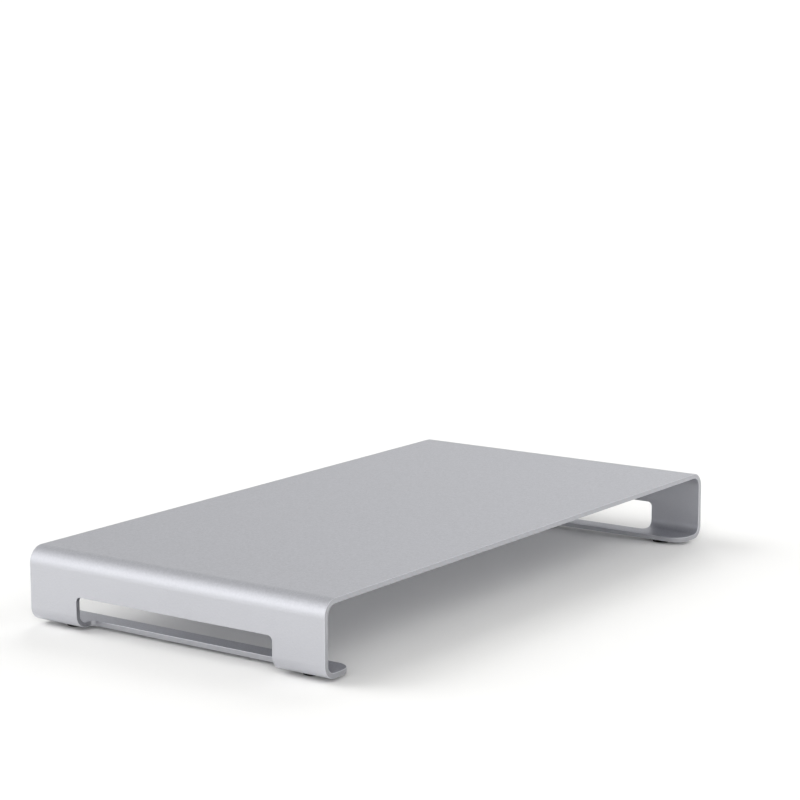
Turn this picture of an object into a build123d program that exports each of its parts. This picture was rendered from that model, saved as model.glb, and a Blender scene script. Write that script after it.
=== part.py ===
"""Monitor riser stand: one bent aluminium sheet standing on four stick-on rubber feet.

The origin is on the desk, under the middle of the stand. +X runs to the user's right along the
longest side, -Y is the open front, and +Z is up.
"""

import os

from build123d import *

# Driving dimensions, in millimetres
WIDTH = 400.0
DEPTH = 210.0
HEIGHT = 45.5

# The sheet, its bends at their outer faces, and the small round that blunts every cut edge
SHEET = 3.0
TOP_BEND_RADIUS = 9.5
BOTTOM_BEND_RADIUS = 8.0
EDGE_ROUND = 0.3

# The flange turned in under each side wall, measured from the wall's outer face
FLANGE_WIDTH = 25.0
FLANGE_CORNER_RADIUS = 10.0

# The opening in each side: it takes the lower wall, the bottom bend and part of the flange
OPENING_LENGTH = 140.0
OPENING_TOP = 21.5
OPENING_REACH = 13.0
OPENING_CORNER_RADIUS = 3.0

# A moulded rubber foot: widest at its glued face, with a shallow dish in its tread
FOOT_DIAMETER = 12.0
FOOT_TREAD_DIAMETER = 11.2
FOOT_HEIGHT = 2.3
FOOT_EDGE_ROUND = 0.45
DISH_DIAMETER = 6.0
DISH_FLAT_DIAMETER = 4.8
DISH_DEPTH = 0.4

# The disc of double-sided adhesive between a foot and the flange
ADHESIVE_DIAMETER = 11.4
ADHESIVE_THICKNESS = 0.2

# Foot centres, from a wall's outer face and from the stand's front or rear end
FOOT_FROM_SIDE = 16.0
FOOT_FROM_END = 20.0

# Worked out from the above
HALF_WIDTH = WIDTH / 2
FLANGE_EDGE = HALF_WIDTH - FLANGE_WIDTH
UNDERSIDE = FOOT_HEIGHT + ADHESIVE_THICKNESS
FOOT_X = HALF_WIDTH - FOOT_FROM_SIDE
FOOT_Y = DEPTH / 2 - FOOT_FROM_END
FOOT_PLACES = {
    "front_left": (-FOOT_X, -FOOT_Y),
    "front_right": (FOOT_X, -FOOT_Y),
    "rear_left": (-FOOT_X, FOOT_Y),
    "rear_right": (FOOT_X, FOOT_Y),
}


def opening_cutter(side):
    """What the opening in one side takes away; side is -1 on the left and 1 on the right."""
    inner_edge = side * (HALF_WIDTH - OPENING_REACH)
    length = 2 * OPENING_REACH
    with BuildPart() as cutter:
        # Seen from the side: round top corners in the wall, and open below
        with BuildSketch(Plane.YZ.offset(inner_edge)) as side_view:
            Rectangle(OPENING_LENGTH, 2 * OPENING_TOP)
            fillet(side_view.vertices(), OPENING_CORNER_RADIUS)
        extrude(amount=side * length)
        # Seen from above: round corners in the flange, and open outwards
        with BuildSketch(Plane.XY) as plan_view:
            with Locations((inner_edge + side * length, 0)):
                Rectangle(2 * length, OPENING_LENGTH)
            fillet(plan_view.vertices(), OPENING_CORNER_RADIUS)
        extrude(amount=OPENING_TOP, mode=Mode.INTERSECT)
    return cutter.part


def foot(x, y):
    """A rubber foot standing on the desk at x, y."""
    with BuildPart() as pad:
        with BuildSketch(Plane((x, y, 0), x_dir=(1, 0, 0), z_dir=(0, -1, 0))) as half_section:
            with BuildLine():
                Polyline(
                    (0, DISH_DEPTH),
                    (DISH_FLAT_DIAMETER / 2, DISH_DEPTH),
                    (DISH_DIAMETER / 2, 0),
                    (FOOT_TREAD_DIAMETER / 2, 0),
                    (FOOT_DIAMETER / 2, FOOT_HEIGHT),
                    (0, FOOT_HEIGHT),
                    close=True,
                )
            make_face()
            tread_edge = half_section.vertices().group_by(Axis.Y)[0].sort_by(Axis.X)[-1]
            fillet(tread_edge, FOOT_EDGE_ROUND)
        revolve(axis=Axis((x, y, 0), (0, 0, 1)))
    return pad.part


def adhesive(x, y):
    """The adhesive disc that holds the foot at x, y to the flange."""
    with BuildPart() as disc:
        with BuildSketch(Plane((x, y, FOOT_HEIGHT))):
            Circle(ADHESIVE_DIAMETER / 2)
        extrude(amount=ADHESIVE_THICKNESS)
    return disc.part


with BuildPart() as riser_body:
    # The bent section: the outer skin from flange to flange, thickened inwards
    with BuildSketch(Plane.XZ):
        with BuildLine():
            FilletPolyline(
                (-FLANGE_EDGE, UNDERSIDE),
                (-HALF_WIDTH, UNDERSIDE),
                (-HALF_WIDTH, HEIGHT),
                (HALF_WIDTH, HEIGHT),
                (HALF_WIDTH, UNDERSIDE),
                (FLANGE_EDGE, UNDERSIDE),
                radius=[BOTTOM_BEND_RADIUS, TOP_BEND_RADIUS, TOP_BEND_RADIUS, BOTTOM_BEND_RADIUS],
            )
            offset(amount=SHEET, side=Side.RIGHT)
        make_face()
    extrude(amount=DEPTH / 2, both=True)

    # The flanges' free corners are the only upright edges no longer than the sheet is thick
    flange_corners = riser_body.edges().filter_by(Axis.Z).group_by(SortBy.LENGTH)[0]
    fillet(flange_corners, FLANGE_CORNER_RADIUS)

    for side in (-1, 1):
        add(opening_cutter(side), mode=Mode.SUBTRACT)

    # Each rim runs smoothly into itself, so rounding one of its edges rounds all of it
    front_edges = riser_body.edges().filter_by_position(Axis.Y, -DEPTH / 2, -DEPTH / 2)
    body_rims = front_edges.filter_by(Axis.X).group_by(SortBy.LENGTH)[-1]
    level_edges = riser_body.edges().filter_by_position(Axis.Z, OPENING_TOP, OPENING_TOP)
    opening_rims = level_edges.filter_by(Axis.Y)
    fillet(body_rims + opening_rims, EDGE_ROUND)
riser_body.part.label = "riser_body"

os.makedirs("parts", exist_ok=True)
export_step(riser_body.part, "parts/riser_body.step")

for corner, (x, y) in FOOT_PLACES.items():
    rubber_foot = foot(x, y)
    rubber_foot.label = "foot_" + corner
    export_step(rubber_foot, "parts/" + rubber_foot.label + ".step")

    adhesive_disc = adhesive(x, y)
    adhesive_disc.label = "adhesive_" + corner
    export_step(adhesive_disc, "parts/" + adhesive_disc.label + ".step")
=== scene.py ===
"""Studio scene for the monitor riser stand: camera, light, floor and the finish of each piece."""

import math

import bpy
from mathutils import Matrix, Vector


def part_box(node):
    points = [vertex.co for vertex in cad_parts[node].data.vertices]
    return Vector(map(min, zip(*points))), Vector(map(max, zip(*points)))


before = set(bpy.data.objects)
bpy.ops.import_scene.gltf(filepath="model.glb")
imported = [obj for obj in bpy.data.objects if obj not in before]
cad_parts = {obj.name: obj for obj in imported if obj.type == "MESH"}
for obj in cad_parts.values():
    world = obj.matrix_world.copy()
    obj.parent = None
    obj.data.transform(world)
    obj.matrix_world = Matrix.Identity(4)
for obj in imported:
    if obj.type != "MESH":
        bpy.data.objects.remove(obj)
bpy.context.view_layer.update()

# Camera, in metres and degrees: in front of the stand, to its left, looking down at it.
# The heading turns from +Y towards +X.
CAMERA_PLACE = Vector((-1.1327, -0.8281, 0.3563))
CAMERA_HEADING = 54.125
CAMERA_TILT_DOWN = 9.912
CAMERA_ROLL = -0.260
CAMERA_LENS = 106.63
CAMERA_SENSOR = 36.0
CAMERA_FAR = 500.0

# Studio light. A heading turns from +Y towards +X, so -50 is behind the stand and to its left.
# What the metal reflects: an even dome, and softboxes as (heading, elevation, sharpness, strength),
# where a sharper one is smaller.
DOME_STRENGTH = 0.80
SOFTBOXES = (
    (-50, 8, 14.0, 0.85),
    (-75, 8, 14.0, 0.30),
    (-70, 32, 10.0, 0.85),
    (-30, 32, 10.0, 0.65),
    (80, 12, 10.0, 0.60),
    (200, 32, 10.0, 0.70),
    (235, 15, 10.0, 0.50),
)
# What lights the floor and the rubber: broad lamps as (heading, elevation, strength), none of them
# seen in the metal
LAMPS = (
    (-45, 55, 0.92),
    (-20, 28, 1.50),
    (70, 28, 1.42),
    (150, 28, 1.00),
    (225, 55, 0.25),
    (240, 28, 1.75),
)
LAMP_SPREAD = 50.0
BACKDROP_WHITE = 1.0

FLOOR_HALF_SIDE = 150.0
FLOOR_WHITE = (0.922, 0.920, 0.908, 1.0)

# Anodised sheet. Lengths are in metres, as the scene is.
SHEET_COLOUR = (0.570, 0.576, 0.612)
SHEET_ROUGHNESS = 0.40

# Its blasted grain, fine and coarse, and a slow mottle: their sizes, how high they stand, and how
# far they take the roughness and the shade up and down
FINE_GRAIN = 0.00045
COARSE_GRAIN = 0.0014
MOTTLE_SIZE = 0.045
FINE_HEIGHT = 0.00004
COARSE_HEIGHT = 0.00012
DIMPLE_HEIGHT = 0.00002
GRAIN_ROUGHENING = 0.03
MOTTLE_ROUGHENING = 0.015
MOTTLE_SHADING = 0.012
# Colour speckle of the grain: on walls, and deeper on faces that look up, where it is painted glint
WALL_SPECKLE = 0.05
TOP_SPECKLE_AND_PAINTED_GLINT = 0.35

# Its skin inside the bay; its cut faces, darkened partly in their own tone and partly as painted
# shade; and the rounds along them, which are shaded as cut faces and then brightened, partly as
# wear and partly as painted highlight
INSIDE_ROUGHNESS = 0.54
CUT_ROUGHNESS = 0.33
CUT_TONE_AND_SHADE_GAIN = 0.76
WORN_AND_HIGHLIGHT_GAIN = 1.6

# How squarely a face looks along the sheet's thickness: skin above the first, flat cut below the
# second, and a round between them
SKIN_FROM = 0.93
CUT_UP_TO = 0.15

# Its bends, by their outside radii, and the middles that they turn about: the sheet runs straight
# between them. The upper and the lower ones share a middle place across the stand.
TOP_BEND_RADIUS = 0.0095
BOTTOM_BEND_RADIUS = 0.008
sheet_low, sheet_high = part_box("riser_body")
BENDS_X = sheet_high.x - (TOP_BEND_RADIUS + BOTTOM_BEND_RADIUS) / 2
TOP_BENDS_Z = sheet_high.z - TOP_BEND_RADIUS
BOTTOM_BENDS_Z = sheet_low.z + BOTTOM_BEND_RADIUS

FOOT_COLOUR = (0.006, 0.006, 0.006)
FOOT_GRAIN = 0.0003
FOOT_GRAIN_HEIGHT = 0.00004
FOOT_DUST = 0.004

FILM_COLOUR = (0.60, 0.60, 0.57)
FILM_CLOUD = 0.0012
FILM_CLOUD_HEIGHT = 0.00002


class NodeTree:
    """The emptied node tree of a material or a world, with short calls to fill it."""

    def __init__(self, owner):
        owner.use_nodes = True
        self.nodes = owner.node_tree.nodes
        self.links = owner.node_tree.links
        self.nodes.clear()

    def feed(self, socket, value):
        if isinstance(value, bpy.types.NodeSocket):
            self.links.new(value, socket)
        else:
            socket.default_value = value

    def add(self, kind, **values):
        """A new node. Each name is one of its own inputs, with _ for a space."""
        node = self.nodes.new(kind)
        for name, value in values.items():
            self.feed(node.inputs[name.replace("_", " ")], value)
        return node

    def math(self, operation, *values):
        node = self.nodes.new("ShaderNodeMath")
        node.operation = operation
        for socket, value in zip(node.inputs, values):
            self.feed(socket, value)
        return node.outputs[0]

    def dot(self, one, other):
        """How much of one vector lies along another, which is a unit vector."""
        node = self.nodes.new("ShaderNodeVectorMath")
        node.operation = "DOT_PRODUCT"
        self.feed(node.inputs[0], one)
        self.feed(node.inputs[1], other)
        return node.outputs["Value"]


class Finish(NodeTree):
    """A new material, with the textures and measures that the finishes share."""

    def __init__(self, name):
        self.material = bpy.data.materials.new(name)
        super().__init__(self.material)
        self.position = self.add("ShaderNodeTexCoord").outputs["Object"]
        self.normal = self.add("ShaderNodeNewGeometry").outputs["Normal"]

    def axes(self, vector):
        """The x, y and z of a vector."""
        return self.add("ShaderNodeSeparateXYZ", Vector=vector).outputs

    def noise(self, size, detail=2.0, roughness=0.5):
        """Cloudy noise from 0 to 1 whose blobs are about size across."""
        node = self.add("ShaderNodeTexNoise", Vector=self.position, Scale=1.0 / size, Detail=detail,
                        Roughness=roughness)
        return node.outputs["Fac"]

    def dimples(self, size):
        """Small round pits about size across, from 0 in a pit's middle."""
        node = self.add("ShaderNodeTexVoronoi", Vector=self.position, Scale=1.0 / size)
        node.feature = "SMOOTH_F1"
        node.inputs["Smoothness"].default_value = 0.6
        return node.outputs["Distance"]

    def spread(self, value, low, high, low_in=0.25, high_in=0.75):
        """value from low_in to high_in, mapped to low to high."""
        node = self.add("ShaderNodeMapRange", Value=value, From_Min=low_in, From_Max=high_in,
                        To_Min=low, To_Max=high)
        return node.outputs["Result"]

    def along(self, vector, x, z):
        """How much of vector lies along the direction that has these x and z."""
        unit = self.nodes.new("ShaderNodeVectorMath")
        unit.operation = "NORMALIZE"
        self.feed(unit.inputs[0], self.add("ShaderNodeCombineXYZ", X=x, Z=z).outputs[0])
        return self.dot(vector, unit.outputs[0])

    def tinted(self, colour, gain):
        """A plain colour times a grey that changes over the surface."""
        node = self.nodes.new("ShaderNodeVectorMath")
        node.operation = "SCALE"
        self.feed(node.inputs[0], colour)
        self.feed(node.inputs["Scale"], gain)
        return node.outputs[0]

    def bump(self, height, distance, normal=None):
        """The surface's normal, or the one given, tilted by a height that stands distance high."""
        node = self.add("ShaderNodeBump", Height=height, Distance=distance, Strength=1.0)
        if normal is not None:
            self.feed(node.inputs["Normal"], normal)
        return node.outputs[0]

    def surface(self, **values):
        """The finished material. Each name is one of the shader's own inputs, with _ for a space."""
        bsdf = self.add("ShaderNodeBsdfPrincipled", **values)
        self.add("ShaderNodeOutputMaterial", Surface=bsdf.outputs[0])
        return self.material


def skin_facing(s):
    """How a face lies to the sheet: 1 on the outer skin, -1 on the inner one, 0 where it is cut across."""
    x, _, z = s.axes(s.position)
    beyond = s.math("MAXIMUM", s.math("SUBTRACT", s.math("ABSOLUTE", x), BENDS_X), 0.0)
    above = s.math("MAXIMUM", s.math("SUBTRACT", z, TOP_BENDS_Z), 0.0)
    below = s.math("MAXIMUM", s.math("SUBTRACT", BOTTOM_BENDS_Z, z), 0.0)
    sideways = s.math("MULTIPLY", s.math("SIGN", x), beyond)
    return s.along(s.normal, sideways, s.math("SUBTRACT", above, below))


def anodised_sheet():
    """Bead-blasted, silver-anodised aluminium: a fine grain, speckled deeper on faces that look up as
    painted glint.
    """
    s = Finish("anodised_sheet")
    fine = s.noise(FINE_GRAIN, detail=2.0, roughness=0.6)
    coarse = s.noise(COARSE_GRAIN, detail=3.0, roughness=0.65)
    mottle = s.noise(MOTTLE_SIZE, detail=4.0, roughness=0.55)
    facing = skin_facing(s)
    squareness = s.math("ABSOLUTE", facing)
    cut = s.math("LESS_THAN", squareness, SKIN_FROM)
    # The rounds between skin and cut face, brightened below partly as wear, partly as painted highlight
    worn_and_highlit = s.math("MULTIPLY", cut, s.math("GREATER_THAN", squareness, CUT_UP_TO))
    inside = s.math("LESS_THAN", facing, -SKIN_FROM)

    _, _, upward = s.axes(s.normal)
    # Grain speckle in the colour, deeper on the faces that look up: that extra depth is painted glint
    speckle = s.math("SUBTRACT", s.math("ADD", fine, coarse), 1.0)
    speckle_depth_and_painted_glint = s.spread(upward, WALL_SPECKLE, TOP_SPECKLE_AND_PAINTED_GLINT, 0.0, 1.0)
    gain = s.math("MULTIPLY_ADD", speckle, speckle_depth_and_painted_glint, 1.0)
    gain = s.math("MULTIPLY", gain, s.spread(mottle, 1.0 - MOTTLE_SHADING, 1.0 + MOTTLE_SHADING))
    # Cut faces darker: partly the cut metal's own tone, partly painted shade
    gain = s.math("MULTIPLY", gain, s.math("MULTIPLY_ADD", cut, CUT_TONE_AND_SHADE_GAIN - 1.0, 1.0))
    # Rounds along the cut faces brighter: partly wear, partly a painted highlight
    gain = s.math("MULTIPLY", gain, s.math("MULTIPLY_ADD", worn_and_highlit, WORN_AND_HIGHLIGHT_GAIN - 1.0, 1.0))

    grain_rough = s.spread(fine, -GRAIN_ROUGHENING, GRAIN_ROUGHENING)
    mottle_rough = s.spread(mottle, -MOTTLE_ROUGHENING, MOTTLE_ROUGHENING)
    rough = s.math("ADD", s.math("ADD", grain_rough, mottle_rough), SHEET_ROUGHNESS)
    rough = s.math("MULTIPLY_ADD", inside, INSIDE_ROUGHNESS - SHEET_ROUGHNESS, rough)
    rough = s.math("MULTIPLY_ADD", cut, CUT_ROUGHNESS - SHEET_ROUGHNESS, rough)

    normal = s.bump(coarse, COARSE_HEIGHT)
    normal = s.bump(fine, FINE_HEIGHT, normal)
    normal = s.bump(s.dimples(FINE_GRAIN), DIMPLE_HEIGHT, normal)
    return s.surface(Base_Color=s.tinted(SHEET_COLOUR, gain), Metallic=1.0, Roughness=rough, Normal=normal)


def foot_rubber():
    """Matt black moulded rubber with a fine texture and a little dust."""
    s = Finish("foot_rubber")
    grain = s.noise(FOOT_GRAIN, detail=2.0)
    dust = s.noise(FOOT_DUST, detail=3.0)
    gain = s.math("MULTIPLY", s.spread(grain, 0.85, 1.15), s.spread(dust, 0.9, 1.5, 0.4, 0.8))
    return s.surface(Base_Color=s.tinted(FOOT_COLOUR, gain), Roughness=s.spread(grain, 0.62, 0.78),
                     Normal=s.bump(grain, FOOT_GRAIN_HEIGHT), Specular_IOR_Level=0.25)


def adhesive_film():
    """Milky double-sided film, seen only as a thin line above each foot."""
    s = Finish("adhesive_film")
    cloud = s.noise(FILM_CLOUD, detail=3.0)
    gain = s.spread(cloud, 0.92, 1.06)
    return s.surface(Base_Color=s.tinted(FILM_COLOUR, gain), Roughness=s.spread(cloud, 0.42, 0.58),
                     Normal=s.bump(cloud, FILM_CLOUD_HEIGHT), Specular_IOR_Level=0.5)


def add_camera():
    """A long lens, a little above the stand and well back from it."""
    data = bpy.data.cameras.new("camera")
    data.sensor_width = CAMERA_SENSOR
    data.lens = CAMERA_LENS
    data.clip_end = CAMERA_FAR
    camera = bpy.data.objects.new("camera", data)
    heading = Matrix.Rotation(-math.radians(CAMERA_HEADING), 4, "Z")
    tilt = Matrix.Rotation(math.radians(90 - CAMERA_TILT_DOWN), 4, "X")
    roll = Matrix.Rotation(math.radians(CAMERA_ROLL), 4, "Z")
    camera.matrix_world = Matrix.Translation(CAMERA_PLACE) @ heading @ tilt @ roll
    bpy.context.scene.collection.objects.link(camera)
    bpy.context.scene.camera = camera


def add_floor():
    """A white sweep, large enough that its far edge is lost in the white behind it."""
    material = bpy.data.materials.new("floor")
    tree = NodeTree(material)
    diffuse = tree.add("ShaderNodeBsdfDiffuse", Color=FLOOR_WHITE)
    tree.add("ShaderNodeOutputMaterial", Surface=diffuse.outputs[0])
    mesh = bpy.data.meshes.new("floor")
    r = FLOOR_HALF_SIDE
    mesh.from_pydata([(-r, -r, 0), (r, -r, 0), (r, r, 0), (-r, r, 0)], [], [(0, 1, 2, 3)])
    mesh.materials.append(material)
    floor = bpy.data.objects.new("floor", mesh)
    bpy.context.scene.collection.objects.link(floor)


def towards(heading, elevation):
    """The unit vector towards a heading and elevation in degrees."""
    a, e = math.radians(heading), math.radians(elevation)
    return (math.sin(a) * math.cos(e), math.cos(a) * math.cos(e), math.sin(e))


def add_reflections():
    """The white backdrop, and the dome and softboxes that only glossy surfaces see."""
    world = bpy.data.worlds.new("studio")
    bpy.context.scene.world = world
    world.cycles_visibility.diffuse = False
    tree = NodeTree(world)
    direction = tree.add("ShaderNodeTexCoord").outputs["Generated"]
    glow = DOME_STRENGTH
    for heading, elevation, sharpness, strength in SOFTBOXES:
        nearness = tree.dot(direction, towards(heading, elevation))
        fall_off = tree.math("EXPONENT", tree.math("MULTIPLY_ADD", nearness, sharpness, -sharpness))
        glow = tree.math("MULTIPLY_ADD", fall_off, strength, glow)

    seen = tree.add("ShaderNodeLightPath").outputs["Is Camera Ray"]
    mix = tree.add("ShaderNodeMix", Factor=seen, A=glow, B=BACKDROP_WHITE)
    background = tree.add("ShaderNodeBackground", Strength=mix.outputs["Result"])
    tree.add("ShaderNodeOutputWorld", Surface=background.outputs[0])


def add_lamps():
    """Broad, even lamps all round, the strongest behind the stand and in front of it on its left."""
    for number, (heading, elevation, strength) in enumerate(LAMPS):
        data = bpy.data.lights.new(f"lamp_{number}", "SUN")
        data.energy = strength
        data.angle = math.radians(LAMP_SPREAD)
        lamp = bpy.data.objects.new(data.name, data)
        lamp.visible_glossy = False
        lamp.rotation_euler = Vector(towards(heading, elevation)).to_track_quat("Z", "Y").to_euler()
        bpy.context.scene.collection.objects.link(lamp)


FINISHES = {"riser_body": anodised_sheet(), "foot": foot_rubber(), "adhesive": adhesive_film()}
for name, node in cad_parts.items():
    kind = next(k for k in FINISHES if name.startswith(k))
    for slot in node.material_slots:
        slot.material = FINISHES[kind]

add_floor()
add_reflections()
add_lamps()
add_camera()
bpy.context.scene.view_settings.view_transform = "Standard"
